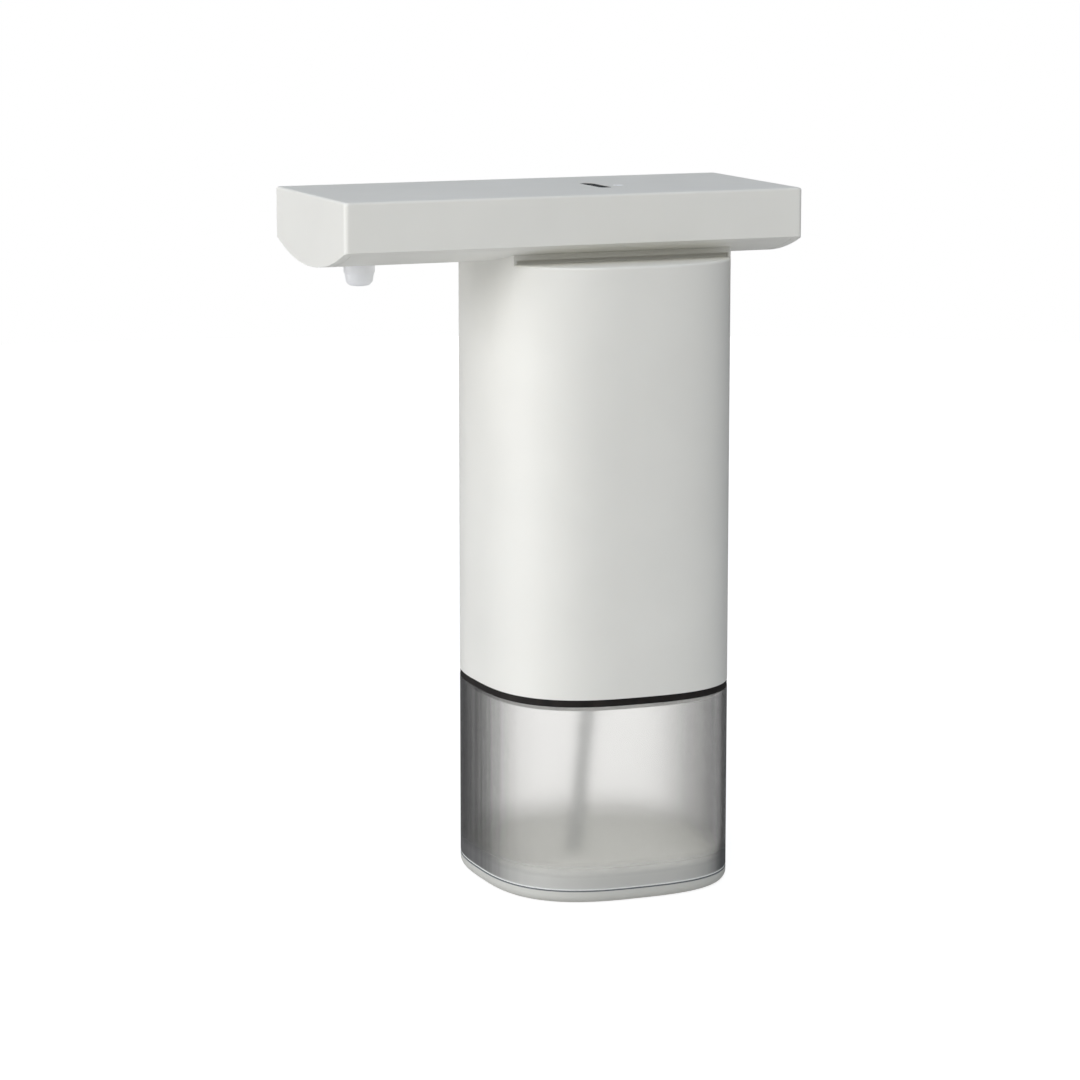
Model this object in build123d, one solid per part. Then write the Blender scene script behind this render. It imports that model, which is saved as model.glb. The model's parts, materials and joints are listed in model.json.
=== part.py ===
"""Free-standing touchless foaming soap dispenser.

Frame: millimetres, +Z up. The origin is the centre of the foot pad's underside, on the column's axis.
The spout points to -Y and the head is widest across X.

From the table up: a foot pad and base plate under a frosted bottle, a seal ring, and the pump unit. That
is a column-shaped body, which holds the pump and the batteries, and a flat head, which holds the boards and
the nozzle.

Names that end in _BOTTOM, _TOP, _Z, _LOW or _HIGH are heights above the table. Names that end in _RADIUS,
_WALL, _HALF_X or _HALF_Y are sizes, and those in _X or _Y alone are places.
"""

from build123d import *
import os
from math import cos, pi, radians, sin

# ---- outside ----

HEIGHT = 200.0
COLUMN_HALF_X = 37.65
COLUMN_HALF_Y = 35.87
COLUMN_EXPONENT = 2.794
OUTLINE_POINTS = 40

BASE_BOTTOM = 0.3
BASE_TOP = 4.0
BASE_EDGE = 2.4
PAD_TOP = 1.0
PAD_INSET = 6.0
BOTTLE_TOP = 57.1
RING_HEIGHT = 2.0
BODY_BOTTOM = BOTTLE_TOP + RING_HEIGHT

SHELF = 180.5
SHELF_EDGE = 0.7
NECK_HALF_X = 21.6
NECK_GROOVE_X = 20.4
NECK_GROOVE_Y = 32.0
NECK_GROOVE_TOP = SHELF + 1.15

HEAD_HALF_X = 30.125
HEAD_FRONT = -85.0
HEAD_BACK = 51.2
HEAD_CREASE = 186.3
HEAD_BELLY = 180.1
HEAD_CORNER = 1.3
HEAD_EDGE = 0.8

# ---- walls and clearances ----

WALL = 2.2
HEAD_WALL = 2.0
HEAD_END_WALL = 2.4
COVER_GAP = 0.15
PLUG_INSET = WALL + 0.15
PLUG_DEPTH = 1.4
SKIRT_WALL = 2.25
FLOOR_TOP = 61.6
BODY_CEILING = 177.9
FIT = 0.04
BEARING_FIT = 0.05
CUT = 1.0  # how far a hole's tool runs past each face

# ---- screws: the radius of the shank, and of the hole that it passes through ----

SCREW = 1.25
SCREW_HOLE = 1.35
PUMP_SCREW = 1.0
PUMP_SCREW_HOLE = 1.05
HOLDER_SCREW = 0.8
HOLDER_SCREW_HOLE = 1.0
BOARD_SCREW = 0.7
BOARD_SCREW_HOLE = 0.9
LONG_SCREW = 14.0

# ---- key, light and sensor ----

KEY_X = 0.5
KEY_Y = 0.5
KEY_LENGTH = 17.3
KEY_WIDTH = 4.0
KEY_TRAVEL = 0.5
KEY_STEM_RADIUS = 1.5
SWITCH_TOP = 195.0
STEM_LOW = 195.6
LENS_X = 2.7
LENS_Y = 6.3
LENS_RADIUS = 1.5
SENSOR_Y = -53.0
SENSOR_BOARD = 185.6
SENSOR_BOARD_WALL = 1.0
WINDOW_LENGTH = 14.0
WINDOW_WIDTH = 6.0
DIODE_X = 3.5
DIODE_RADIUS = 1.5
BOARD_BOTTOM = 190.4
BOARD_TOP = 191.6

# ---- nozzle and foam path ----

NOZZLE_Y = -70.6
NOZZLE_STEM = 4.0
NOZZLE_COLLAR = 4.35
NOZZLE_END = 174.25
NOZZLE_STEM_TOP = 186.6
HOLDER_BOTTOM = 182.5
HOLDER_TOP = 194.0
HOLDER_EARS_BOTTOM = 186.0
HOLDER_EARS_TOP = 188.0
FOAM_Y = -28.3
FOAM_Z = 190.0
FOAM_RADIUS = 3.0
FOAM_WALL = 0.9
SPIGOT_RADIUS = FOAM_RADIUS - FOAM_WALL - BEARING_FIT
DUCT_X, DUCT_Y, DUCT_MIDDLE, DUCT_CORNER = 16.0, 20.0, -22.0, 3.0

# ---- soap path ----

DIP_LOW = Vector(0, -6.0, 6.9)
DIP_HIGH = Vector(0, -0.9, 56.6)
DIP_RADIUS = 2.0
DIP_WALL = 0.7
SOCKET_RADIUS = 3.1
SOCKET_DEPTH = 7.0
INLET_RADIUS = 3.0
INLET_BORE = 1.3
BARB_RADIUS = 2.3
BARB_TOP = 66.5
SUCTION_RADIUS = 3.3

# ---- pump and motor ----

PUMP_Y = -11.0
PUMP_SIDE = 27.0
PUMP_CORNER = 3.5
PUMP_BOTTOM = 72.0
VALVES_BOTTOM = 79.5
SHEET_BOTTOM = 81.5
HOUSING_BOTTOM = 83.0
PUMP_TOP = 97.0
PORT_Z = 76.0
PORT_RADIUS = 2.0
PORT_END = -26.9
CHAMBER_PITCH = 7.5
CHAMBER_TURNS = (90, 210, 330)
WOBBLE_BOTTOM = 88.4
WELL_BOTTOM = 90.0
PIN_OFFSET = 2.0
PIN_RADIUS = 0.8
CAM_BOTTOM = 93.0
CAM_TOP = 94.8
MOTOR_RADIUS = 12.2
MOTOR_TOP = 124.0
CAN_WALL = 0.8
BELL_WALL = 2.0
BOSS_RADIUS = 3.0
SHAFT_RADIUS = 1.0
CORE_RADIUS = 8.8
CORE_BOTTOM = 101.0
CORE_TOP = 116.0
TERMINAL_X = 7.0
TERMINAL_HEIGHT = 4.0
CRADLE_BOTTOM = 104.0
CRADLE_HEIGHT = 7.0
EAR_HEIGHT = 3.0

# ---- batteries ----

CELL_RADIUS = 5.2
CELL_LENGTH = 44.5
CELL_BOTTOM = 63.2
CELL_Y = 17.5
CELL_PITCH = 10.8
NUB_RADIUS = 1.9
NUB_HEIGHT = 1.0
BAY_HALF_X = 22.0
BAY_HALF_Y = 5.5
BAY_CORNER = 1.5
TRAY_WALL = 1.4
TRAY_HEADROOM = 0.5
CONTACT_HALF_Y = 3.5
CONTACT_WALL = 0.4
GROOVE_LOW = 58.6
GROOVE_HIGH = 60.2

# ---- values that follow ----

SAGITTA = HEAD_CREASE - HEAD_BELLY
BELLY_RADIUS = (HEAD_HALF_X**2 + SAGITTA**2) / (2 * SAGITTA)
BELLY_CENTRE = HEAD_BELLY + BELLY_RADIUS
HEAD_CEILING = HEIGHT - WALL
CELL_TOP = CELL_BOTTOM + CELL_LENGTH
CELL_XS = [(i - 1.5) * CELL_PITCH for i in range(4)]
LEAD_X = 20.0

HEAD_SCREWS = [(x, y) for x in (-18, 18) for y in (-18, 18)]
FRONT_POSTS = [(-24, -20), (24, -20)]
BACK_POSTS = [(-29, 9), (29, 9)]
BOARD_POSTS = [(x, y) for x in (-11, 11) for y in (-17.5, 27)]
SENSOR_POSTS = [(-7.5, -58), (7.5, -58)]
HOLDER_POSTS = [(-9.5, NOZZLE_Y), (9.5, NOZZLE_Y)]
PUMP_SCREWS = [(x, PUMP_Y + y) for x in (-11.2, 11.2) for y in (-11.2, 11.2)]


def around(radius, turns, x=0, y=0):
    """Points on a circle at the given turns in degrees."""
    return [(x + radius * cos(radians(a)), y + radius * sin(radians(a))) for a in turns]


CHAMBERS = around(CHAMBER_PITCH, CHAMBER_TURNS, 0, PUMP_Y)


# ---- shapes that several pieces use ----


def block(x_low, x_high, y_low, y_high, z_low, z_high):
    """A box between two corners."""
    size = Box(x_high - x_low, y_high - y_low, z_high - z_low)
    return Pos((x_low + x_high) / 2, (y_low + y_high) / 2, (z_low + z_high) / 2) * size


def block_at(x, y, half_x, half_y, z_low, z_high):
    """A box round an upright line."""
    return block(x - half_x, x + half_x, y - half_y, y + half_y, z_low, z_high)


def rod(radius, x, y, z_low, z_high):
    """An upright cylinder."""
    return Pos(x, y, (z_low + z_high) / 2) * Cylinder(radius, z_high - z_low)


def hole(radius, x, y, z_low, z_high):
    """An upright cylinder that runs past both heights, to cut with."""
    return rod(radius, x, y, z_low - CUT, z_high + CUT)


def rod_along(radius, start, end):
    """A cylinder from one point to another."""
    start, end = Vector(start), Vector(end)
    place = Plane(origin=(start + end) / 2, z_dir=end - start)
    return place * Cylinder(radius, (end - start).length)


def slab(width, depth, corner, x, y, z_low, z_high):
    """An upright prism with a rounded rectangle as its section."""
    return Pos(x, y, z_low) * extrude(RectangleRounded(width, depth, corner), z_high - z_low)


def pill(length, width, x, y, z_low, z_high):
    """An upright prism with a slot shape, long across X, as its section."""
    return Pos(x, y, z_low) * extrude(SlotOverall(length, width), z_high - z_low)


def column(inset, z_low, z_high):
    """A prism with the column's superellipse outline, drawn in by an inset."""
    half_x = COLUMN_HALF_X - inset
    half_y = COLUMN_HALF_Y - inset
    points = []
    for i in range(OUTLINE_POINTS):
        turn = 2 * pi * i / OUTLINE_POINTS
        reach = abs(cos(turn) / half_x) ** COLUMN_EXPONENT + abs(sin(turn) / half_y) ** COLUMN_EXPONENT
        radius = reach ** (-1 / COLUMN_EXPONENT)
        points.append((radius * cos(turn), radius * sin(turn)))
    outline = make_face(Spline(points, periodic=True))
    return Pos(0, 0, z_low) * extrude(outline, z_high - z_low)


def belly(radius, y_low=HEAD_FRONT - CUT, y_high=HEAD_BACK + CUT):
    """The cylinder across the head's underside; the head lies inside it."""
    middle = (y_low + y_high) / 2
    return Pos(0, middle, BELLY_CENTRE) * Rot(90, 0, 0) * Cylinder(radius, y_high - y_low)


def duct(z_low, z_high):
    """The opening between the body and the head for the foam tube and the leads."""
    return slab(DUCT_X, DUCT_Y, DUCT_CORNER, 0, DUCT_MIDDLE, z_low, z_high)


def wire(radius, points, bends):
    """A round lead along straight runs joined by arcs."""
    path = FilletPolyline(*points, radius=bends)
    start = Plane(origin=path @ 0, z_dir=path % 0)
    return sweep(start * Circle(radius), path=path)


def screw(x, y, seat, length, radius, up=True):
    """A pan-head screw with a cross recess; it points up or down from its seat."""
    way = 1 if up else -1
    head_height = 1.3 * radius + 0.3
    head_radius = 1.9 * radius
    arm = 0.2 * radius
    outer = seat - way * head_height
    shank = rod(radius, x, y, *sorted((seat, seat + way * length)))
    head = rod(head_radius, x, y, *sorted((seat, outer)))
    recess = sorted((outer, outer + way * radius))
    cross = block_at(x, y, radius, arm, *recess) + block_at(x, y, arm, radius, *recess)
    return shank + head - cross


def group(solids):
    """Several like solids in one node."""
    return Compound(children=list(solids))


# ---- bottle and base ----


def make_bottle():
    """An open-topped frosted cup with an even wall."""
    outer_edge = 0.5
    inner_edge = 2.5
    outside = column(0, BASE_TOP, BOTTLE_TOP)
    outside = fillet(outside.edges().group_by(Axis.Z)[0], outer_edge)
    inside = column(WALL, BASE_TOP + WALL, BOTTLE_TOP + CUT)
    inside = fillet(inside.edges().group_by(Axis.Z)[0], inner_edge)
    return outside - inside


def make_base_plate():
    """The body-coloured plate under the bottle, with a recess for the foot pad."""
    upper_edge = 0.3
    plate = column(0, BASE_BOTTOM, BASE_TOP)
    plate = fillet(plate.edges().group_by(Axis.Z)[0], BASE_EDGE)
    plate = fillet(plate.edges().group_by(Axis.Z)[-1], upper_edge)
    return plate - column(PAD_INSET, 0, PAD_TOP)


def make_foot_pad():
    """The non-slip pad that the dispenser stands on."""
    side_gap = 0.2
    return column(PAD_INSET + side_gap, 0, PAD_TOP)


# ---- body ----


def make_seal_ring():
    """The black ring between the bottle's rim and the body."""
    set_back = 0.08
    ring = column(set_back, BOTTLE_TOP, BODY_BOTTOM)
    return ring - column(PLUG_INSET, BOTTLE_TOP - CUT, BODY_BOTTOM + CUT)


def make_body_floor():
    """The floor of the body and the low plug that the bottle's mouth fits round."""
    plug_bottom = BOTTLE_TOP - PLUG_DEPTH
    floor = column(WALL + FIT, BODY_BOTTOM, FLOOR_TOP)
    floor += column(PLUG_INSET, plug_bottom, BODY_BOTTOM)
    floor -= column(PLUG_INSET + SKIRT_WALL, plug_bottom - CUT, BOTTLE_TOP)
    bay_low, bay_high = BOTTLE_TOP - CUT, FLOOR_TOP + CUT
    floor -= slab(2 * BAY_HALF_X, 2 * BAY_HALF_Y, BAY_CORNER, 0, CELL_Y, bay_low, bay_high)
    floor -= hole(INLET_RADIUS + FIT, 0, DIP_HIGH.Y, BOTTLE_TOP, FLOOR_TOP)
    for x, y in FRONT_POSTS + BACK_POSTS:
        floor -= hole(SCREW_HOLE, x, y, BOTTLE_TOP, FLOOR_TOP)
    return floor


def column_with_neck():
    """The column's outside up to its shelf, and the narrower neck under the head, grooved at its foot."""
    neck_root = 5.0
    outside = column(0, BODY_BOTTOM, SHELF)
    outside = fillet(outside.edges().group_by(Axis.Z)[-1], SHELF_EDGE)
    neck = column(0, SHELF - neck_root, HEAD_CREASE)
    neck &= block(-NECK_HALF_X, NECK_HALF_X, -COLUMN_HALF_X, COLUMN_HALF_X, 0, HEIGHT)
    for side in (-1, 1):
        near, far = sorted((side * NECK_GROOVE_X, side * COLUMN_HALF_X))
        neck -= block(near, far, -NECK_GROOVE_Y, NECK_GROOVE_Y, SHELF, NECK_GROOVE_TOP)
    return outside + neck - belly(BELLY_RADIUS)


def front_post(x, y):
    """A tall post with a web, for the floor below it and the pump cradle on top of it."""
    post_radius = 3.2
    web_half_x, web_length = 1.0, 12.0
    web = block(x - web_half_x, x + web_half_x, y - web_length, y, FLOOR_TOP, CRADLE_BOTTOM)
    return rod(post_radius, x, y, FLOOR_TOP, CRADLE_BOTTOM) + web


def back_post(x, y):
    """A short post with a web to the column's side, for a floor screw."""
    post_radius, post_top = 3.0, 80.0
    web_length, web_half_y = 8.0, 1.0
    outer = x + web_length if x > 0 else x - web_length
    web = block(*sorted((x, outer)), y - web_half_y, y + web_half_y, FLOOR_TOP, post_top)
    return rod(post_radius, x, y, FLOOR_TOP, post_top) + web


def make_body_shell():
    """The column: an even wall, a closed top, and the neck that carries the head."""
    wall_overlap = 0.5
    floor_screw_high = 74.0
    cradle_screw_low = 95.0
    shell = column_with_neck() - column(WALL, BODY_BOTTOM - CUT, BODY_CEILING)
    inside = column(WALL - wall_overlap, FLOOR_TOP, BODY_CEILING)
    for x, y in FRONT_POSTS:
        shell += front_post(x, y) & inside
        shell -= rod(SCREW, x, y, cradle_screw_low, CRADLE_BOTTOM + CUT)
    for x, y in BACK_POSTS:
        shell += back_post(x, y) & inside
    for x, y in FRONT_POSTS + BACK_POSTS:
        shell -= rod(SCREW, x, y, FLOOR_TOP - CUT, floor_screw_high)
    for x, y in HEAD_SCREWS:
        shell -= rod(SCREW_HOLE, x, y, BODY_CEILING - CUT, HEAD_CREASE)
    return shell - duct(BODY_CEILING - CUT, HEAD_CREASE)


# ---- head ----


def make_head_shell():
    """The flat head: top, side walls and end walls, open underneath."""
    inner_corner = 0.6
    boss_radius, boss_hole_top = 3.0, 193.0
    key_gap = 0.1
    outside = block(-HEAD_HALF_X, HEAD_HALF_X, HEAD_FRONT, HEAD_BACK, HEAD_BELLY - CUT, HEIGHT)
    outside = fillet(outside.edges().filter_by(Axis.Z), HEAD_CORNER)
    outside = fillet(outside.edges().group_by(Axis.Z)[-1], HEAD_EDGE)
    inside = block(
        HEAD_WALL - HEAD_HALF_X,
        HEAD_HALF_X - HEAD_WALL,
        HEAD_FRONT + HEAD_END_WALL,
        HEAD_BACK - HEAD_END_WALL,
        HEAD_BELLY - 2 * CUT,
        HEAD_CEILING,
    )
    inside = fillet(inside.edges().filter_by(Axis.Z), inner_corner)
    shell = (outside & belly(BELLY_RADIUS)) - inside
    above_cover = belly(BELLY_RADIUS - HEAD_WALL - BEARING_FIT)
    for x, y in HEAD_SCREWS:
        shell += rod(boss_radius, x, y, HEAD_BELLY, HEAD_CEILING + WALL / 2) & above_cover
        shell -= rod(SCREW, x, y, HEAD_BELLY, boss_hole_top)
    key_length, key_width = KEY_LENGTH + 2 * key_gap, KEY_WIDTH + 2 * key_gap
    shell -= pill(key_length, key_width, KEY_X, KEY_Y, HEAD_CEILING - CUT, HEIGHT + CUT)
    return shell - hole(LENS_RADIUS + FIT / 2, LENS_X, LENS_Y, HEAD_CEILING, HEIGHT)


def under_plate():
    """The curved plate that closes the head, without its holes and posts."""
    half_x = HEAD_HALF_X - HEAD_WALL - COVER_GAP
    front = HEAD_FRONT + HEAD_END_WALL + COVER_GAP
    back = HEAD_BACK - HEAD_END_WALL - COVER_GAP
    band = belly(BELLY_RADIUS) - belly(BELLY_RADIUS - HEAD_WALL)
    return band & block(-half_x, half_x, front, back, HEAD_BELLY - CUT, HEAD_CREASE + HEAD_WALL + CUT)


def make_head_underside():
    """The underside cover with its posts and its holes for the nozzle, sensor, tube and leads."""
    cover = under_plate()
    low, high = HEAD_BELLY - CUT, HEAD_CREASE
    pilot_depth = 3.5
    holder_post, board_post, sensor_post = 2.5, 1.8, 1.2
    posts = [(x, y, holder_post, HOLDER_EARS_BOTTOM, HOLDER_SCREW) for x, y in HOLDER_POSTS]
    posts += [(x, y, board_post, BOARD_BOTTOM, BOARD_SCREW) for x, y in BOARD_POSTS]
    posts += [(x, y, sensor_post, SENSOR_BOARD, 0) for x, y in SENSOR_POSTS]
    inside_arc = belly(BELLY_RADIUS - HEAD_WALL / 2)
    for x, y, radius, top, pilot in posts:
        cover += rod(radius, x, y, HEAD_BELLY, top) & inside_arc
        if pilot:
            cover -= rod(pilot, x, y, top - pilot_depth, top + CUT)
    nozzle_gap = 0.1
    cover -= rod(NOZZLE_STEM + nozzle_gap, 0, NOZZLE_Y, low, high)
    cover -= pill(WINDOW_LENGTH + 2 * FIT, WINDOW_WIDTH + 2 * FIT, 0, SENSOR_Y, low, high)
    for x, y in HEAD_SCREWS:
        cover -= rod(SCREW_HOLE, x, y, low, high + HEAD_WALL + CUT)
    return cover - duct(low, high)


def make_sensor_window():
    """The infrared window, flush with the curved underside."""
    slot = pill(WINDOW_LENGTH, WINDOW_WIDTH, 0, SENSOR_Y, HEAD_BELLY - CUT, HEAD_CREASE)
    return slot & under_plate()


def make_indicator_lens():
    """The light guide whose end is the dot on top of the head."""
    guide_bottom = 193.0
    flange_radius, flange_height = 2.1, 1.2
    guide = rod(LENS_RADIUS, LENS_X, LENS_Y, guide_bottom, HEIGHT)
    return guide + rod(flange_radius, LENS_X, LENS_Y, HEAD_CEILING - flange_height, HEAD_CEILING)


def make_power_button():
    """The pill-shaped key with a dished top, sunk a little, with a flange that keeps it in."""
    key_top = HEIGHT - 0.15
    dish_radius, dish_depth = 5.2, 0.4
    dish_z = key_top - dish_depth + dish_radius
    half_run = (KEY_LENGTH - KEY_WIDTH) / 2
    flange_margin, flange_height, flange_gap = 2.7, 1.2, 0.05
    key = pill(KEY_LENGTH, KEY_WIDTH, KEY_X, KEY_Y, HEAD_CEILING - CUT, key_top)
    ends = [(KEY_X + side * half_run, KEY_Y, dish_z) for side in (-1, 1)]
    dish = rod_along(dish_radius, *ends)
    for end in ends:
        dish += Pos(*end) * Sphere(dish_radius)
    flange_top = HEAD_CEILING - flange_gap
    length, width = KEY_LENGTH + flange_margin, KEY_WIDTH + flange_margin
    flange = pill(length, width, KEY_X, KEY_Y, flange_top - flange_height, flange_top)
    return key - dish + flange + rod(KEY_STEM_RADIUS, KEY_X, KEY_Y, STEM_LOW, HEAD_CEILING - CUT)


def make_tact_switch():
    """The switch body on the main board, with a well for its plunger."""
    side, corner = 6.0, 0.6
    well_radius, well_bottom = 1.7, 192.6
    body = slab(side, side, corner, KEY_X, KEY_Y, BOARD_TOP, SWITCH_TOP)
    return body - rod(well_radius, KEY_X, KEY_Y, well_bottom, SWITCH_TOP + CUT)


def make_switch_plunger():
    """The switch's plunger, which the key pushes down."""
    plunger_radius, pressed_bottom = 1.62, 192.7
    return rod(plunger_radius, KEY_X, KEY_Y, pressed_bottom + KEY_TRAVEL, STEM_LOW)


def make_main_board():
    """The control board under the head's top, with its two largest chips."""
    board = block(-13, 13, -20, 30, BOARD_BOTTOM, BOARD_TOP)
    for x, y in BOARD_POSTS:
        board -= hole(BOARD_SCREW_HOLE, x, y, BOARD_BOTTOM, BOARD_TOP)
    driver_height, controller_height = 1.2, 1.0
    board += block(-8, -3, 12, 17, BOARD_TOP, BOARD_TOP + driver_height)
    return board + block(3, 9, 18, 22, BOARD_TOP, BOARD_TOP + controller_height)


def make_status_led():
    """The small LED under the light guide."""
    half_x, half_y, height = 1.0, 0.6, 0.8
    return block_at(LENS_X, LENS_Y, half_x, half_y, BOARD_TOP, BOARD_TOP + height)


def make_sensor_board():
    """The board above the infrared window, with a hole for each diode's leg."""
    leg_hole = 0.5
    board = block(-9, 9, -60, -46, SENSOR_BOARD, SENSOR_BOARD + SENSOR_BOARD_WALL)
    for x in (-DIODE_X, DIODE_X):
        board -= hole(leg_hole, x, SENSOR_Y, SENSOR_BOARD, SENSOR_BOARD + SENSOR_BOARD_WALL)
    return board


def infrared_diode(x):
    """A round diode that looks down through the window."""
    length, dome = 2.6, 1.2
    body = rod(DIODE_RADIUS, x, SENSOR_Y, SENSOR_BOARD - length, SENSOR_BOARD)
    return fillet(body.edges().group_by(Axis.Z)[0], dome)


# ---- nozzle and foam path ----


def make_nozzle_tip():
    """The translucent spout: a collar, a cone with a rounded end, and a stem that plugs into the holder."""
    bore = 1.9
    mouth = (2.1, NOZZLE_END)
    rounding = (3.25, NOZZLE_END + 0.6)
    cone_low = (3.78, NOZZLE_END + 1.6)
    cone_high = (4.1, 177.78)
    collar_low = (NOZZLE_COLLAR - 0.03, 177.9)
    stem_top = (NOZZLE_STEM, NOZZLE_STEM_TOP)
    with BuildPart() as tip:
        with BuildSketch(Plane.XZ):
            with BuildLine():
                Line((bore, NOZZLE_END), mouth)
                ThreePointArc(mouth, rounding, cone_low)
                Polyline(cone_low, cone_high, collar_low, (NOZZLE_COLLAR, HEAD_BELLY))
                Polyline((NOZZLE_COLLAR, HEAD_BELLY), (NOZZLE_STEM, HEAD_BELLY), stem_top)
                Polyline(stem_top, (bore, NOZZLE_STEM_TOP), (bore, NOZZLE_END))
            make_face()
        revolve(axis=Axis.Z)
    return Pos(0, NOZZLE_Y, 0) * tip.part


def make_nozzle_holder():
    """The block in the head that takes the nozzle tip, the screens and the foam tube."""
    body_radius = 6.2
    ears_length, ears_width, ears_corner = 24.0, 6.0, 2.5
    mixing_radius, mixing_top = 3.0, 192.0
    spigot_bore = 1.3
    socket_top = 187.5
    spigot_end = (0, NOZZLE_Y + 12.2, FOAM_Z)
    holder = rod(body_radius, 0, NOZZLE_Y, HOLDER_BOTTOM, HOLDER_TOP)
    holder += slab(ears_length, ears_width, ears_corner, 0, NOZZLE_Y, HOLDER_EARS_BOTTOM, HOLDER_EARS_TOP)
    holder += rod_along(SPIGOT_RADIUS, (0, NOZZLE_Y, FOAM_Z), spigot_end)
    holder -= rod(NOZZLE_STEM + BEARING_FIT, 0, NOZZLE_Y, HOLDER_BOTTOM - CUT, socket_top)
    holder -= rod(mixing_radius, 0, NOZZLE_Y, socket_top, mixing_top)
    holder -= rod_along(spigot_bore, (0, NOZZLE_Y, FOAM_Z), Vector(spigot_end) + Vector(0, CUT, 0))
    for x, y in HOLDER_POSTS:
        holder -= hole(HOLDER_SCREW_HOLE, x, y, HOLDER_EARS_BOTTOM, HOLDER_EARS_TOP)
    return holder


def make_foam_screens():
    """Two fine discs that break the foam up just before the nozzle."""
    thickness, pitch, gap = 0.4, 0.46, 0.02
    lows = [NOZZLE_STEM_TOP + gap + i * pitch for i in range(2)]
    return group(rod(NOZZLE_STEM - BEARING_FIT, 0, NOZZLE_Y, low, low + thickness) for low in lows)


def make_foam_tube():
    """The soft tube from the pump, up the column and along the head to the nozzle."""
    bend = 11.0
    bottom = 80.2
    holder_face = NOZZLE_Y + 6.3
    path = FilletPolyline((0, FOAM_Y, bottom), (0, FOAM_Y, FOAM_Z), (0, holder_face, FOAM_Z), radius=bend)
    start = Plane(origin=path @ 0, z_dir=path % 0)
    return sweep(start * (Circle(FOAM_RADIUS) - Circle(FOAM_RADIUS - FOAM_WALL)), path=path)


def make_outlet_elbow():
    """The elbow that turns the pump's outlet up into the foam tube."""
    body_radius, bore = 3.1, 1.2
    bottom, shoulder, top = 72.8, 80.0, 86.0
    pump_face, port_stop = -24.6, -27.0
    past_face = pump_face + CUT
    elbow = rod(body_radius, 0, FOAM_Y, bottom, shoulder) + rod(SPIGOT_RADIUS, 0, FOAM_Y, shoulder, top)
    elbow += rod_along(body_radius, (0, FOAM_Y, PORT_Z), (0, pump_face, PORT_Z))
    elbow -= rod(bore, 0, FOAM_Y, PORT_Z - CUT, top + CUT)
    elbow -= rod_along(PORT_RADIUS + FIT, (0, port_stop, PORT_Z), (0, past_face, PORT_Z))
    return elbow - rod_along(bore, (0, FOAM_Y, PORT_Z), (0, past_face, PORT_Z))


# ---- soap inlet ----


def dip_direction():
    """The unit vector up the dip tube, which leans a little."""
    return (DIP_HIGH - DIP_LOW).normalized()


def make_dip_tube():
    """The leaning tube from the pump unit to the bottle's floor."""
    way = dip_direction()
    bore = rod_along(DIP_RADIUS - DIP_WALL, DIP_LOW - way, DIP_HIGH + way)
    return rod_along(DIP_RADIUS, DIP_LOW, DIP_HIGH) - bore


def make_inlet_fitting():
    """The fitting through the floor: a socket for the dip tube below and a barb above."""
    y = DIP_HIGH.Y
    flange_radius, flange_height = 5.0, 1.2
    way = dip_direction()
    fitting = rod(flange_radius, 0, y, BOTTLE_TOP - flange_height, BOTTLE_TOP)
    fitting += rod(INLET_RADIUS, 0, y, BOTTLE_TOP, FLOOR_TOP)
    fitting += rod_along(SOCKET_RADIUS, DIP_HIGH - SOCKET_DEPTH * way, DIP_HIGH)
    fitting += rod(BARB_RADIUS, 0, y, FLOOR_TOP, BARB_TOP)
    fitting -= rod_along(DIP_RADIUS + FIT / 2, DIP_HIGH - (SOCKET_DEPTH + CUT) * way, DIP_HIGH)
    return fitting - hole(INLET_BORE, 0, y, DIP_HIGH.Z, BARB_TOP)


def make_suction_tube():
    """The short soft tube between the inlet fitting and the pump."""
    bottom, top = 62.2, 71.8
    bore = hole(BARB_RADIUS + FIT, 0, DIP_HIGH.Y, bottom, top)
    return rod(SUCTION_RADIUS, 0, DIP_HIGH.Y, bottom, top) - bore


# ---- pump ----


def pump_layer(z_low, z_high):
    """One square layer of the pump, with its screw holes."""
    layer = slab(PUMP_SIDE, PUMP_SIDE, PUMP_CORNER, 0, PUMP_Y, z_low, z_high)
    for x, y in PUMP_SCREWS:
        layer -= hole(PUMP_SCREW_HOLE, x, y, z_low, z_high)
    return layer


def make_pump_head():
    """The end cap with its two ports, the ring-shaped inlet passage and the outlet well."""
    inlet_bottom = 67.2
    passage_outer, passage_inner, passage_bottom = 12.0, 6.2, 76.5
    well_radius, well_bottom = 4.6, 74.5
    outlet_bore, inlet_bore = 1.1, 1.2
    port_root = PUMP_Y - PUMP_SIDE / 2 + CUT
    over = VALVES_BOTTOM + CUT
    head = pump_layer(PUMP_BOTTOM, VALVES_BOTTOM)
    head += rod(BARB_RADIUS, 0, DIP_HIGH.Y, inlet_bottom, PUMP_BOTTOM)
    head += rod_along(PORT_RADIUS, (0, port_root, PORT_Z), (0, PORT_END, PORT_Z))
    passage = rod(passage_outer, 0, PUMP_Y, passage_bottom, over)
    head -= passage - hole(passage_inner, 0, PUMP_Y, passage_bottom, over)
    head -= rod(well_radius, 0, PUMP_Y, well_bottom, over)
    head -= rod_along(outlet_bore, (0, PUMP_Y, PORT_Z), (0, PORT_END - CUT, PORT_Z))
    return head - rod(inlet_bore, 0, DIP_HIGH.Y, inlet_bottom - CUT, passage_bottom + CUT / 2)


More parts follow.
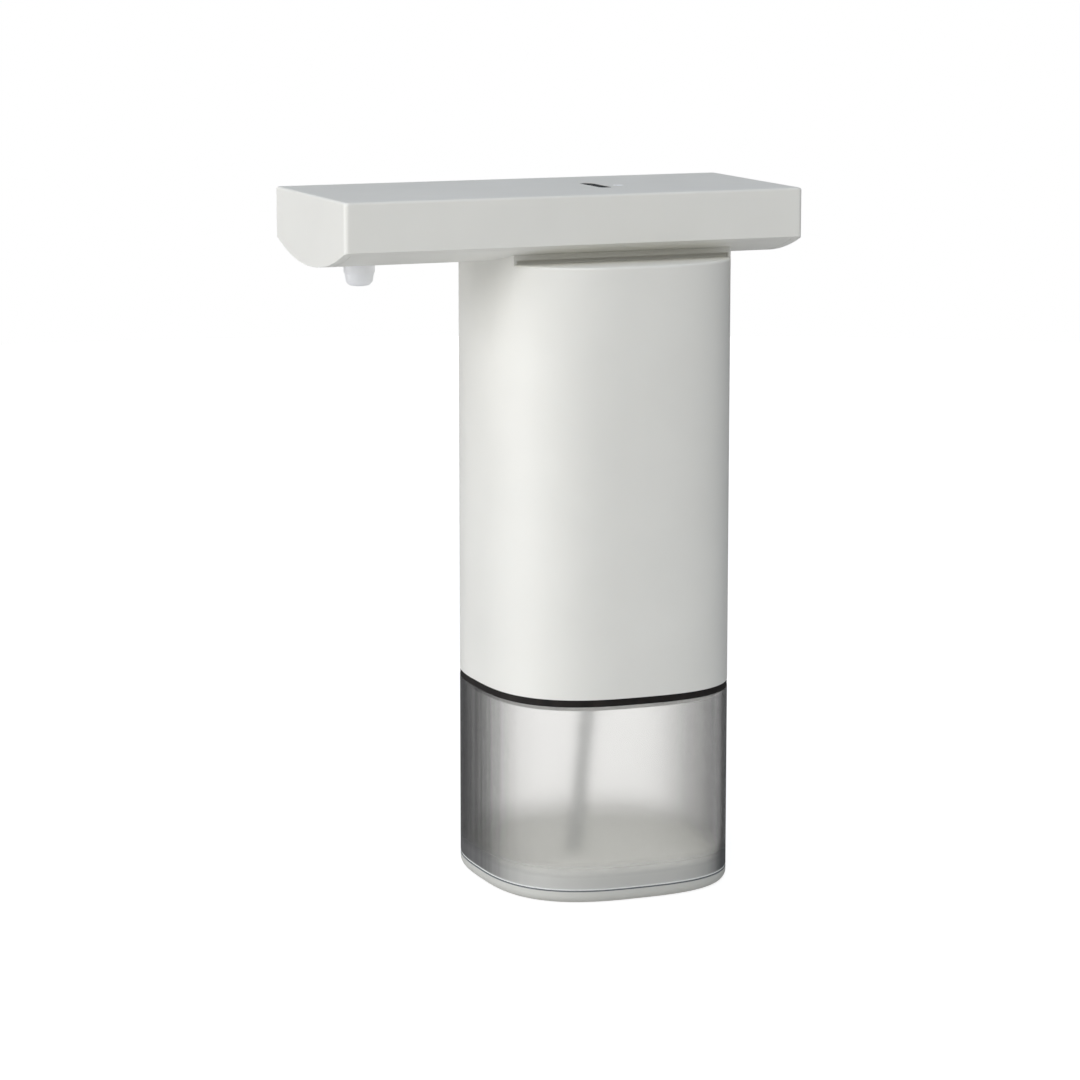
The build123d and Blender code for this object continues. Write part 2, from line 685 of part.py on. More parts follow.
def make_valve_plate():
    """The plate that carries the valves, with flow holes round each of them."""
    stem_hole, flow_hole, flow_pitch = 0.75, 0.5, 1.7
    plate = pump_layer(VALVES_BOTTOM, SHEET_BOTTOM)
    for x, y in CHAMBERS + [(0, PUMP_Y)]:
        plate -= hole(stem_hole, x, y, VALVES_BOTTOM, SHEET_BOTTOM)
        for flow_x, flow_y in around(flow_pitch, CHAMBER_TURNS, x, y):
            plate -= hole(flow_hole, flow_x, flow_y, VALVES_BOTTOM, SHEET_BOTTOM)
    return plate


def make_umbrella_valves():
    """Three intake valves above the plate and one outlet valve below it, like soft mushrooms."""
    cap_radius, cap_height, stem_radius = 2.5, 0.5, 0.7
    below = VALVES_BOTTOM - cap_height
    valves = []
    for x, y in CHAMBERS:
        cap = rod(cap_radius, x, y, SHEET_BOTTOM, SHEET_BOTTOM + cap_height)
        valves.append(cap + rod(stem_radius, x, y, below, SHEET_BOTTOM))
    outlet_cap = rod(cap_radius, 0, PUMP_Y, below, VALVES_BOTTOM)
    valves.append(outlet_cap + rod(stem_radius, 0, PUMP_Y, VALVES_BOTTOM, SHEET_BOTTOM))
    return group(valves)


def make_diaphragm():
    """The rubber sheet with three cups that the wobble plate pumps."""
    cup_radius, cup_top = 3.7, 87.6
    hollow_radius, hollow_top = 2.8, 86.6
    nipple_radius, nipple_top = 1.0, 91.2
    sheet = pump_layer(SHEET_BOTTOM, HOUSING_BOTTOM)
    for x, y in CHAMBERS:
        sheet += rod(cup_radius, x, y, HOUSING_BOTTOM, cup_top)
        sheet += rod(nipple_radius, x, y, cup_top, nipple_top)
        sheet -= rod(hollow_radius, x, y, SHEET_BOTTOM - CUT, hollow_top)
    return sheet


def make_pump_housing():
    """The square housing round the wobble plate; the motor sits on it."""
    room_radius, room_top = 12.0, 95.0
    motor_hole = 4.0
    housing = pump_layer(HOUSING_BOTTOM, PUMP_TOP)
    housing -= rod(room_radius, 0, PUMP_Y, HOUSING_BOTTOM - CUT, room_top)
    return housing - rod(motor_hole, 0, PUMP_Y, room_top - CUT, PUMP_TOP + CUT)


def make_wobble_plate():
    """Three arms on a hub; the drive pin runs in the hub's well."""
    hub_radius, hub_top = 4.7, 92.6
    arm_radius = 3.0
    nipple_hole = 1.0 + FIT
    well_radius = 3.5
    plate = rod(hub_radius, 0, PUMP_Y, WOBBLE_BOTTOM, hub_top)
    for x, y in CHAMBERS:
        plate += rod(arm_radius, x, y, WOBBLE_BOTTOM, WELL_BOTTOM)
        plate -= hole(nipple_hole, x, y, WOBBLE_BOTTOM, WELL_BOTTOM)
    return plate - rod(well_radius, 0, PUMP_Y, WELL_BOTTOM, hub_top + CUT)


def make_motor_can():
    """The motor's steel can with its front bearing boss."""
    boss_bottom = 95.4
    can = rod(MOTOR_RADIUS, 0, PUMP_Y, PUMP_TOP, MOTOR_TOP - BELL_WALL)
    can += rod(BOSS_RADIUS, 0, PUMP_Y, boss_bottom, PUMP_TOP)
    can -= rod(MOTOR_RADIUS - CAN_WALL, 0, PUMP_Y, PUMP_TOP + CAN_WALL, MOTOR_TOP)
    return can - hole(SHAFT_RADIUS + BEARING_FIT, 0, PUMP_Y, boss_bottom, PUMP_TOP)


def make_motor_endbell():
    """The plastic cap that carries the brushes and the rear bearing."""
    rim = MOTOR_TOP - BELL_WALL
    spigot_depth, boss_height = 1.5, 1.4
    bearing_top = MOTOR_TOP + 0.6
    slot_half_x, slot_half_y = 1.15, 0.25
    bell = rod(MOTOR_RADIUS, 0, PUMP_Y, rim, MOTOR_TOP)
    bell += rod(MOTOR_RADIUS - CAN_WALL - 2 * BEARING_FIT, 0, PUMP_Y, rim - spigot_depth, rim)
    bell += rod(BOSS_RADIUS, 0, PUMP_Y, MOTOR_TOP, MOTOR_TOP + boss_height)
    bell -= rod(SHAFT_RADIUS + BEARING_FIT, 0, PUMP_Y, rim - spigot_depth - CUT, bearing_top)
    for x in (-TERMINAL_X, TERMINAL_X):
        bell -= block_at(x, PUMP_Y, slot_half_x, slot_half_y, MOTOR_TOP - CUT, MOTOR_TOP + CUT)
    return bell


def make_motor_terminals():
    """The two tabs that the motor's leads are soldered to."""
    half_x, half_y, root = 1.1, 0.2, 0.9
    low, high = MOTOR_TOP - root, MOTOR_TOP + TERMINAL_HEIGHT
    return group(block_at(x, PUMP_Y, half_x, half_y, low, high) for x in (-TERMINAL_X, TERMINAL_X))


def make_motor_magnets():
    """Two arc magnets inside the can."""
    bottom, top = 100.0, 118.0
    can_gap = 0.02
    inner_radius, half_gap = 9.2, 2.5
    ring = rod(MOTOR_RADIUS - CAN_WALL - can_gap, 0, PUMP_Y, bottom, top)
    ring -= hole(inner_radius, 0, PUMP_Y, bottom, top)
    gap = block_at(0, PUMP_Y, half_gap, MOTOR_RADIUS, bottom - CUT, top + CUT)
    return group((ring - gap).solids())


def make_motor_shaft():
    """The shaft through the motor; its lower end carries the cam."""
    shaft_top = MOTOR_TOP + 0.4
    return rod(SHAFT_RADIUS, 0, PUMP_Y, CAM_BOTTOM, shaft_top)


def make_motor_armature():
    """The wound core with three poles, and the commutator above it."""
    commutator_radius, commutator_top = 2.6, 119.8
    slot_turns = (30, 150, 270)
    slot_near, slot_half_y = 4.5, 1.1
    core = rod(CORE_RADIUS, 0, PUMP_Y, CORE_BOTTOM, CORE_TOP)
    core += rod(commutator_radius, 0, PUMP_Y, CORE_TOP, commutator_top)
    for turn in slot_turns:
        slot = block(slot_near, CORE_RADIUS + CUT, -slot_half_y, slot_half_y, CORE_BOTTOM - CUT, CORE_TOP)
        core -= Pos(0, PUMP_Y, 0) * Rot(0, 0, turn) * slot
    return core - hole(SHAFT_RADIUS, 0, PUMP_Y, CORE_BOTTOM, commutator_top)


def make_eccentric_cam():
    """The wheel on the shaft's end, with an off-centre hole for the drive pin."""
    cam_radius = 4.0
    cam = rod(cam_radius, 0, PUMP_Y, CAM_BOTTOM, CAM_TOP)
    return cam - hole(SHAFT_RADIUS, 0, PUMP_Y, CAM_BOTTOM, CAM_TOP) - make_drive_pin()


def make_drive_pin():
    """The off-centre pin that swings the wobble plate."""
    pin_bottom, pin_top = 90.8, 94.2
    return rod(PIN_RADIUS, 0, PUMP_Y + PIN_OFFSET, pin_bottom, pin_top)


def make_pump_cradle():
    """The clamp ring round the motor, with two ears that stand on the body's front posts."""
    ring_radius, ear_radius, ear_root = 14.0, 3.0, 6.0
    ear_top = CRADLE_BOTTOM + EAR_HEIGHT
    cradle = rod(ring_radius, 0, PUMP_Y, CRADLE_BOTTOM, CRADLE_BOTTOM + CRADLE_HEIGHT)
    for x, y in FRONT_POSTS:
        root = ear_root if x > 0 else -ear_root
        ear = block(*sorted((root, x)), y - ear_radius, y + ear_radius, CRADLE_BOTTOM, ear_top)
        cradle += ear + rod(ear_radius, x, y, CRADLE_BOTTOM, ear_top)
    cradle -= hole(MOTOR_RADIUS + FIT, 0, PUMP_Y, CRADLE_BOTTOM, CRADLE_BOTTOM + CRADLE_HEIGHT)
    for x, y in FRONT_POSTS:
        cradle -= hole(SCREW_HOLE, x, y, CRADLE_BOTTOM, ear_top)
    return cradle


# ---- batteries ----


def make_battery_tray():
    """The box that holds four cells in a row, open at the body's floor."""
    inner_top = CELL_TOP + TRAY_HEADROOM
    lead_hole = 0.7
    width, depth = 2 * (BAY_HALF_X + TRAY_WALL), 2 * (BAY_HALF_Y + TRAY_WALL)
    tray = slab(width, depth, BAY_CORNER + CUT, 0, CELL_Y, FLOOR_TOP, inner_top + TRAY_WALL)
    tray -= slab(2 * BAY_HALF_X, 2 * BAY_HALF_Y, BAY_CORNER, 0, CELL_Y, FLOOR_TOP - CUT, inner_top)
    for x in (-LEAD_X, LEAD_X):
        tray -= hole(lead_hole, x, CELL_Y, inner_top, inner_top + TRAY_WALL)
    return tray


def make_battery(x, nub_up):
    """One round cell with its raised contact at one end."""
    edge = 0.4
    low = CELL_BOTTOM if nub_up else CELL_BOTTOM + NUB_HEIGHT
    high = CELL_TOP - NUB_HEIGHT if nub_up else CELL_TOP
    can = rod(CELL_RADIUS, x, CELL_Y, low, high)
    return fillet(can.edges(), edge) + rod(NUB_RADIUS, x, CELL_Y, CELL_BOTTOM, CELL_TOP)


def contact_strips(spans, z_low):
    """Flat contacts across the ends of the cells."""
    low, high = CELL_Y - CONTACT_HALF_Y, CELL_Y + CONTACT_HALF_Y
    return group(block(left, right, low, high, z_low, z_low + CONTACT_WALL) for left, right in spans)


def make_contact_plates():
    """The three contacts at the top of the tray."""
    gap = 0.05
    return contact_strips([(-21, -11.4), (-9.4, 9.4), (11.4, 21)], CELL_TOP + gap)


def make_cover_contacts():
    """The two contacts on the battery cover, each joining a pair of cells."""
    gap = 0.05
    return contact_strips([(-20, -1.6), (1.6, 20)], CELL_BOTTOM - gap - CONTACT_WALL)


def make_battery_cover():
    """The plug that closes the battery bay from below, with a rib to pull it by."""
    side_gap, corner = 0.15, 1.4
    half_x, half_y = BAY_HALF_X - side_gap, BAY_HALF_Y - side_gap
    plug_top = CELL_BOTTOM - 0.5
    groove_depth, core_corner = 1.0, 1.0
    margin_x, margin_y = 2.0, 1.8
    flange_height, rib_height = 2.0, 2.4
    flange_bottom = BOTTLE_TOP - flange_height
    cover = slab(2 * half_x, 2 * half_y, corner, 0, CELL_Y, BOTTLE_TOP, plug_top)
    groove = block_at(0, CELL_Y, half_x + CUT, half_y + CUT, GROOVE_LOW, GROOVE_HIGH)
    core_x, core_y = 2 * (half_x - groove_depth), 2 * (half_y - groove_depth)
    core = slab(core_x, core_y, core_corner, 0, CELL_Y, GROOVE_LOW, GROOVE_HIGH)
    width, depth = 2 * (BAY_HALF_X + margin_x), 2 * (BAY_HALF_Y + margin_y)
    flange = slab(width, depth, BAY_CORNER + CUT, 0, CELL_Y, flange_bottom, BOTTLE_TOP)
    rib_length, rib_width = 16.0, 2.4
    rib = slab(rib_length, rib_width, core_corner, 0, CELL_Y, flange_bottom - rib_height, flange_bottom)
    return cover - (groove - core) + flange + rib


def make_cover_seal():
    """The soft ring in the battery cover's groove."""
    side_gap, corner = 0.05, 1.45
    inner_corner, ring_width = 1.0, 1.1
    width, depth = 2 * (BAY_HALF_X - side_gap), 2 * (BAY_HALF_Y - side_gap)
    ring = slab(width, depth, corner, 0, CELL_Y, GROOVE_LOW, GROOVE_HIGH)
    core_x, core_y = width - 2 * ring_width, depth - 2 * ring_width
    return ring - slab(core_x, core_y, inner_corner, 0, CELL_Y, GROOVE_LOW - CUT, GROOVE_HIGH + CUT)


# ---- leads ----


def make_battery_leads():
    """Two leads from the tray up to the main board."""
    radius, bends = 0.6, [14, 12]
    leads = []
    for side in (-1, 1):
        points = [
            (LEAD_X * side, CELL_Y, CELL_TOP + TRAY_HEADROOM),
            (LEAD_X * side, CELL_Y, 140),
            (4 * side, -16, 164),
            (4 * side, -16, BOARD_BOTTOM),
        ]
        leads.append(wire(radius, points, bends))
    return group(leads)


def make_motor_leads():
    """Two leads from the motor's terminals up to the main board."""
    radius, bends = 0.6, [20, 20]
    leads = []
    for side in (-1, 1):
        points = [
            (TERMINAL_X * side, PUMP_Y, MOTOR_TOP + TERMINAL_HEIGHT),
            (TERMINAL_X * side, PUMP_Y, 146),
            (6.3 * side, -14, 160),
            (6.3 * side, -14, BOARD_BOTTOM),
        ]
        leads.append(wire(radius, points, bends))
    return group(leads)


def make_sensor_leads():
    """Three thin leads from the main board to the sensor board."""
    radius, bends = 0.35, [1.4, 1.2]
    run_z, start_y, end_y = 188.3, -17.5, -50
    leads = []
    for x in (5.4, 6.4, 7.4):
        points = [
            (x, start_y, BOARD_BOTTOM),
            (x, start_y, run_z),
            (x, end_y, run_z),
            (x, end_y, SENSOR_BOARD + SENSOR_BOARD_WALL),
        ]
        leads.append(wire(radius, points, bends))
    return group(leads)


# ---- screws ----


def screws(places, seat, length, radius, up=True):
    """Like screws at several places."""
    return group(screw(x, y, seat, length, radius, up) for x, y in places)


def make_screws():
    """The screws by their nodes' names."""
    cradle_seat = CRADLE_BOTTOM + EAR_HEIGHT
    return {
        "floor_screws": screws(FRONT_POSTS + BACK_POSTS, BOTTLE_TOP, LONG_SCREW, SCREW),
        "head_screws": screws(HEAD_SCREWS, BODY_CEILING, LONG_SCREW, SCREW),
        "pump_screws": screws(PUMP_SCREWS, PUMP_BOTTOM, 22, PUMP_SCREW),
        "board_screws": screws(BOARD_POSTS, BOARD_TOP, 4, BOARD_SCREW, up=False),
        "cradle_screws": screws(FRONT_POSTS, cradle_seat, 11, SCREW, up=False),
        "holder_screws": screws(HOLDER_POSTS, HOLDER_EARS_TOP, 5, HOLDER_SCREW, up=False),
    }


# ---- the whole object ----


def make_parts():
    """Every piece by its node's name."""
    parts = {
        "bottle": make_bottle(),
        "base_plate": make_base_plate(),
        "foot_pad": make_foot_pad(),
        "seal_ring": make_seal_ring(),
        "body_floor": make_body_floor(),
        "body_shell": make_body_shell(),
        "head_shell": make_head_shell(),
        "head_underside": make_head_underside(),
        "sensor_window": make_sensor_window(),
        "indicator_lens": make_indicator_lens(),
        "power_button": make_power_button(),
        "tact_switch": make_tact_switch(),
        "switch_plunger": make_switch_plunger(),
        "main_board": make_main_board(),
        "status_led": make_status_led(),
        "sensor_board": make_sensor_board(),
        "ir_emitter": infrared_diode(-DIODE_X),
        "ir_receiver": infrared_diode(DIODE_X),
        "nozzle_tip": make_nozzle_tip(),
        "nozzle_holder": make_nozzle_holder(),
        "foam_screens": make_foam_screens(),
        "foam_tube": make_foam_tube(),
        "outlet_elbow": make_outlet_elbow(),
        "dip_tube": make_dip_tube(),
        "inlet_fitting": make_inlet_fitting(),
        "suction_tube": make_suction_tube(),
        "pump_head": make_pump_head(),
        "valve_plate": make_valve_plate(),
        "umbrella_valves": make_umbrella_valves(),
        "diaphragm": make_diaphragm(),
        "pump_housing": make_pump_housing(),
        "wobble_plate": make_wobble_plate(),
        "motor_can": make_motor_can(),
        "motor_endbell": make_motor_endbell(),
        "motor_terminals": make_motor_terminals(),
        "motor_magnets": make_motor_magnets(),
        "motor_shaft": make_motor_shaft(),
        "motor_armature": make_motor_armature(),
        "eccentric_cam": make_eccentric_cam(),
        "drive_pin": make_drive_pin(),
        "pump_cradle": make_pump_cradle(),
        "battery_tray": make_battery_tray(),
        "contact_plates": make_contact_plates(),
        "battery_cover": make_battery_cover(),
        "cover_seal": make_cover_seal(),
        "cover_contacts": make_cover_contacts(),
        "battery_leads": make_battery_leads(),
        "motor_leads": make_motor_leads(),
        "sensor_leads": make_sensor_leads(),
    }
    for number, x in enumerate(CELL_XS, start=1):
        parts[f"battery_{number}"] = make_battery(x, nub_up=number % 2 == 1)
    return parts | make_screws()


os.makedirs("parts", exist_ok=True)
for node, shape in make_parts().items():
    export_step(shape, f"parts/{node}.step")
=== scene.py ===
"""Looks for the touchless foaming soap dispenser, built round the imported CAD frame.

Metres, +Z up. The spout points to -Y. The camera stands in front and to the right of the spout.
"""

import json
import math

import bmesh
import bpy
from mathutils import Matrix, Vector


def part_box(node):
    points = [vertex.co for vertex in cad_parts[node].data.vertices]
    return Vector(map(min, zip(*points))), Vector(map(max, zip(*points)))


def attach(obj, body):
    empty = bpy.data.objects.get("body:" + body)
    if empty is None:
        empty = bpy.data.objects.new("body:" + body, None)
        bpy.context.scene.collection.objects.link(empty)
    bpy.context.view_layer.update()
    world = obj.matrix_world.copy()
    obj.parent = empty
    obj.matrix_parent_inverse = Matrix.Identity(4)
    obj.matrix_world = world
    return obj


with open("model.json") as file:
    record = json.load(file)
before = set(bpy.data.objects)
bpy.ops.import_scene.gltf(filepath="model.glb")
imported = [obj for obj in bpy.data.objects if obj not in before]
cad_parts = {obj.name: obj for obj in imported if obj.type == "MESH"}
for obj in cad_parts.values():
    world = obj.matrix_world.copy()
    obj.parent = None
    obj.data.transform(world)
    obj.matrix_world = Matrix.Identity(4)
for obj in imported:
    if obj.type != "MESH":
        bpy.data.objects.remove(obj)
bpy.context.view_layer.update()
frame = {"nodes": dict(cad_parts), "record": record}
nodes = frame["nodes"]

MM = 0.001

# ---- camera and light: metres and degrees ----

CAMERA_AZIMUTH = 68.123
CAMERA_ELEVATION = 9.966
CAMERA_DISTANCE = 1.0878
CAMERA_LENS = 126.46
CAMERA_TARGET = Vector((0, -0.01644, 0.09883))

LIGHT_DISTANCE = 1.7
LIGHT_SIZE = 1.1
LIGHT_CENTRE = Vector((0, -0.015, 0.11))
HORIZON = (0.072, 0.07, 0.058)
OVERHEAD = (0.375, 0.42, 0.505)

FLOOR_RADIUS = 1.3
FLOOR_CORNERS = 96
FLOOR_FOR_LENS = 0.86
FLOOR_GLOW = 0.25
FLOOR_IN_GLOSS = 0.18

# ---- sizes and heights of the part: millimetres, and degrees round the motor's axis ----

COLUMN_EXPONENT = 2.794
BASE_TOP = 4.0
SEAM_SHADE = 0.34
# Heights in mm over which the painted highlight on the bottle's lower edge fades out.
RIM_HIGHLIGHT_FADE = (4.4, 4.8)
FOOT_FADE = (7.6, 12.5)
FLOOR_FADE = (9.5, 10.5)
BOARD_TOP = 191.6
CORE_BOTTOM = 101.0
CORE_TOP = 116.0
CORE_POLES = (90, 210, 330)
SLOT_HALF_PITCH = 60
CELL_BAND = 12.0
CELL_BARE_END = 1.2

# ---- looks ----

EDGE_CUTOFF = 0.745
EDGE_POWER = 2.5
# The colour of the painted shade in the seam between the bottle and the base plate.
PAINTED_SEAM_SHADE = (0.13, 0.14, 0.15)
CHIP_BLACK = (0.012, 0.012, 0.013)
SMOOTH_ANGLE = math.radians(35)


def direction(azimuth, elevation):
    """The unit vector from the object towards a camera at that azimuth and elevation, in degrees."""
    turn, rise = math.radians(azimuth), math.radians(elevation)
    return Vector((math.sin(turn) * math.cos(rise), -math.cos(turn) * math.cos(rise), math.sin(rise)))


def make_camera():
    """The camera at the photograph's viewing angle."""
    data = bpy.data.cameras.new("camera")
    data.lens = CAMERA_LENS
    data.clip_start = 0.05
    camera = bpy.data.objects.new("camera", data)
    back = direction(CAMERA_AZIMUTH, CAMERA_ELEVATION)
    camera.location = CAMERA_TARGET + back * CAMERA_DISTANCE
    camera.rotation_mode = "QUATERNION"
    camera.rotation_quaternion = (-back).to_track_quat("-Z", "Y")
    bpy.context.scene.collection.objects.link(camera)
    bpy.context.scene.camera = camera


def make_softbox(name, azimuth, elevation, brightness, colour=(1, 1, 1), mirrored=True):
    """A square soft light. A white surface that faces it gets the given brightness from it."""
    way = direction(azimuth, elevation)
    data = bpy.data.lights.new(name, "AREA")
    data.energy = brightness * (math.pi * LIGHT_DISTANCE) ** 2
    data.size = LIGHT_SIZE
    data.color = colour
    light = bpy.data.objects.new(name, data)
    light.location = LIGHT_CENTRE + way * LIGHT_DISTANCE
    light.rotation_mode = "QUATERNION"
    light.rotation_quaternion = way.to_track_quat("Z", "Y")
    light.visible_camera = False
    light.visible_transmission = False
    light.visible_glossy = mirrored
    bpy.context.scene.collection.objects.link(light)


# ---- node helpers ----


class Shader:
    """A small helper that builds one material's or world's node tree."""

    def __init__(self, tree):
        self.tree = tree
        tree.nodes.clear()

    def node(self, kind, settings=None, **inputs):
        """Adds a node. An input is a value or a socket, under the input's name or its number after a "_"."""
        made = self.tree.nodes.new(kind)
        for name, value in (settings or {}).items():
            setattr(made, name, value)
        for name, value in inputs.items():
            socket = made.inputs[int(name[1:])] if name[1:].isdigit() else made.inputs[name.replace("_", " ")]
            if isinstance(value, bpy.types.NodeSocket):
                self.tree.links.new(value, socket)
            else:
                socket.default_value = value
        return made

    def place(self):
        """The coordinates in the row's frame, in metres."""
        return self.node("ShaderNodeTexCoord").outputs["Object"]

    def along(self, axis):
        """One coordinate of the row's frame, in metres."""
        return self.node("ShaderNodeSeparateXYZ", Vector=self.place()).outputs[axis]

    def levelness(self):
        """From 0 on an upright wall to 1 on a floor or ceiling."""
        normal = self.node("ShaderNodeNewGeometry").outputs["Normal"]
        upright = self.node("ShaderNodeSeparateXYZ", Vector=normal).outputs["Z"]
        return self.maths("ABSOLUTE", upright)

    def noise(self, size, detail=2.0):
        """Noise from 0 to 1 whose features are about the given size, in metres."""
        made = self.node("ShaderNodeTexNoise", Vector=self.place(), Scale=1 / size, Detail=detail)
        return made.outputs["Fac"]

    def drawn_noise(self, size):
        """Noise whose features are about the given size across and very long up and down."""
        place = self.node("ShaderNodeVectorMath", {"operation": "MULTIPLY"}, _0=self.place(), _1=(1, 1, 0.02))
        made = self.node("ShaderNodeTexNoise", Vector=place.outputs[0], Scale=1 / size, Detail=2.0)
        return made.outputs["Fac"]

    def ramp(self, value, low, high, from_low=0.3, from_high=0.7):
        """Maps a value to a range."""
        made = self.node(
            "ShaderNodeMapRange", Value=value, From_Min=from_low, From_Max=from_high, To_Min=low, To_Max=high
        )
        return made.outputs["Result"]

    def fade(self, height, heights, strength=1.0):
        """Falls from the strength to 0 between two heights in millimetres."""
        return self.ramp(height, strength, 0.0, heights[0] * MM, heights[1] * MM)

    def mix(self, factor, first, second):
        """Mixes two surfaces by their nodes."""
        return self.node("ShaderNodeMixShader", _0=factor, _1=first.outputs[0], _2=second.outputs[0])

    def blend(self, factor, first, second):
        """Mixes two colours; each is three numbers or a socket."""
        pair = [c if isinstance(c, bpy.types.NodeSocket) else (*c, 1) for c in (first, second)]
        made = self.node("ShaderNodeMix", {"data_type": "RGBA"}, _0=factor, _6=pair[0], _7=pair[1])
        return made.outputs[2]

    def maths(self, operation, first, second=0.0, clamp=False):
        """One sum on one or two values."""
        made = self.node("ShaderNodeMath", {"operation": operation, "use_clamp": clamp}, _0=first, _1=second)
        return made.outputs[0]

    def bump(self, height, distance):
        """A normal from a height, with its depth in metres."""
        made = self.node("ShaderNodeBump", Height=height, Distance=distance, Strength=1.0)
        return made.outputs["Normal"]


def new_material(name):
    """An empty node material and its helper."""
    material = bpy.data.materials.new(name)
    material.use_nodes = True
    return material, Shader(material.node_tree)


def finish_material(shader, surface):
    """Connects the surface to the output."""
    shader.node("ShaderNodeOutputMaterial", Surface=surface)


# ---- materials ----


def moulded_plastic(name, colour, roughness, grain=0.22, depth=0.006, specular=0.4, seam=None):
    """Moulded plastic with a fine spark-eroded grain and slight unevenness of tone and gloss.

    Grain, depth and seam are in millimetres; just below the seam's height the plastic has a painted shade of
    the seam's gap.
    """
    material, shader = new_material(name)
    darker = tuple(c * 0.965 for c in colour)
    tone = shader.blend(shader.ramp(shader.noise(30 * MM), 0, 1), darker, colour)
    # Painted shade: a dark band just below the seam, where the gap's shadow would fall.
    if seam:
        out_of_painted_shade = shader.fade(shader.along("Z"), (seam - SEAM_SHADE, seam - SEAM_SHADE / 2))
        tone = shader.blend(out_of_painted_shade, PAINTED_SEAM_SHADE, tone)
    gloss = shader.ramp(shader.noise(12 * MM), roughness - 0.03, roughness + 0.03)
    surface = shader.node(
        "ShaderNodeBsdfPrincipled",
        Base_Color=tone,
        Roughness=gloss,
        Normal=shader.bump(shader.noise(grain * MM, detail=1.0), depth * MM),
        Specular_IOR_Level=specular,
    )
    finish_material(shader, surface.outputs[0])
    return material


def body_plastic():
    """The warm light grey-white of the column and the head, with a little light inside it."""
    material = moulded_plastic("body_plastic", (0.845, 0.833, 0.775), 0.46)
    surface = material.node_tree.nodes["Principled BSDF"]
    surface.inputs["Subsurface Weight"].default_value = 0.08
    surface.inputs["Subsurface Radius"].default_value = (1.2 * MM, 1.1 * MM, 1.0 * MM)
    surface.inputs["Subsurface Scale"].default_value = 1.0
    return material


def on_outside(shader):
    """1 on the outer face of the bottle's wall, 0 on its inner face."""
    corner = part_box("bottle")[1]
    reaches = []
    for axis, half in (("X", corner.x), ("Y", corner.y)):
        share = shader.maths("DIVIDE", shader.maths("ABSOLUTE", shader.along(axis)), half)
        reaches.append(shader.maths("POWER", share, COLUMN_EXPONENT))
    # The superellipse's sum is 1 on the outer face and about 0.85 on the inner one.
    return shader.ramp(shader.maths("ADD", *reaches), 0.0, 1.0, 0.9, 0.94)


def wall_clearness(shader, level):
    """1 where the bottle's wall is seen square on, and 0 where it is seen edge-on, with upright streaks."""
    edge = shader.node("ShaderNodeLayerWeight", Blend=0.5).outputs["Facing"]
    wall = shader.maths("SUBTRACT", 1.0, level)
    streaks = shader.ramp(shader.drawn_noise(3.2 * MM), 0.93, 1.06)
    grazing = shader.maths("MULTIPLY", shader.maths("MULTIPLY", edge, wall), streaks)
    grazing = shader.maths("DIVIDE", grazing, EDGE_CUTOFF)
    left = shader.maths("SUBTRACT", 1.0, shader.maths("POWER", grazing, EDGE_POWER), clamp=True)
    return shader.maths("MULTIPLY", left, left)


def frosted_bottle():
    """Frosted plastic that darkens where a wall is seen edge-on, and is milky round its thick floor."""
    material, shader = new_material("frosted_bottle")
    fine = shader.bump(shader.noise(0.35 * MM, detail=3.0), 0.004 * MM)
    level = shader.levelness()
    clear = wall_clearness(shader, level)
    bounced = shader.node("ShaderNodeLightPath").outputs["Diffuse Depth"]
    lit = shader.maths("MAXIMUM", clear, shader.maths("MINIMUM", bounced, 1.0))
    glassy = shader.node(
        "ShaderNodeBsdfPrincipled",
        Base_Color=shader.blend(lit, (0.012, 0.012, 0.013), (0.952, 0.945, 0.928)),
        Roughness=0.26,
        IOR=1.45,
        Transmission_Weight=0.985,
        Normal=fine,
    )
    milky = shader.blend(clear, (0.13, 0.13, 0.13), (0.635, 0.63, 0.59))
    foot = shader.node("ShaderNodeBsdfDiffuse", Color=milky, Normal=fine)
    # A painted highlight: a lighter band along the bottle's lower rounded edge.
    painted_rim_highlight = shader.node("ShaderNodeBsdfDiffuse", Color=(0.8, 0.82, 0.79, 1), Normal=fine)
    floor = shader.node("ShaderNodeBsdfDiffuse", Color=(0.98, 0.99, 0.96, 1), Normal=fine)
    height = shader.along("Z")
    lying = shader.ramp(level, 0.0, 1.0, 0.05, 0.4)
    on_floor = shader.maths("MULTIPLY", lying, shader.fade(height, FLOOR_FADE))
    on_foot = shader.maths("MULTIPLY", shader.fade(height, FOOT_FADE, 0.85), on_outside(shader))
    on_rim_highlight = shader.fade(height, RIM_HIGHLIGHT_FADE)
    footed = shader.mix(on_foot, glassy, shader.mix(on_rim_highlight, foot, painted_rim_highlight))
    finish_material(shader, shader.mix(on_floor, footed, floor).outputs[0])
    return material


def milky_plastic(name, colour, roughness, transmission, glow=0.0):
    """A translucent white plastic or silicone; a glow makes it give off painted light, though it is no lamp.
    """
    material, shader = new_material(name)
    surface = shader.node(
        "ShaderNodeBsdfPrincipled",
        Base_Color=(*colour, 1),
        Roughness=shader.ramp(shader.noise(5 * MM), roughness - 0.04, roughness + 0.04),
        IOR=1.45,
        Transmission_Weight=transmission,
        Subsurface_Weight=0.5,
        Subsurface_Radius=(2 * MM, 2 * MM, 2 * MM),
        Subsurface_Scale=1.0,
        Emission_Color=(1, 1, 1, 1),
        Emission_Strength=glow,
        Normal=shader.bump(shader.noise(0.4 * MM), 0.008 * MM),
    )
    finish_material(shader, surface.outputs[0])
    return material


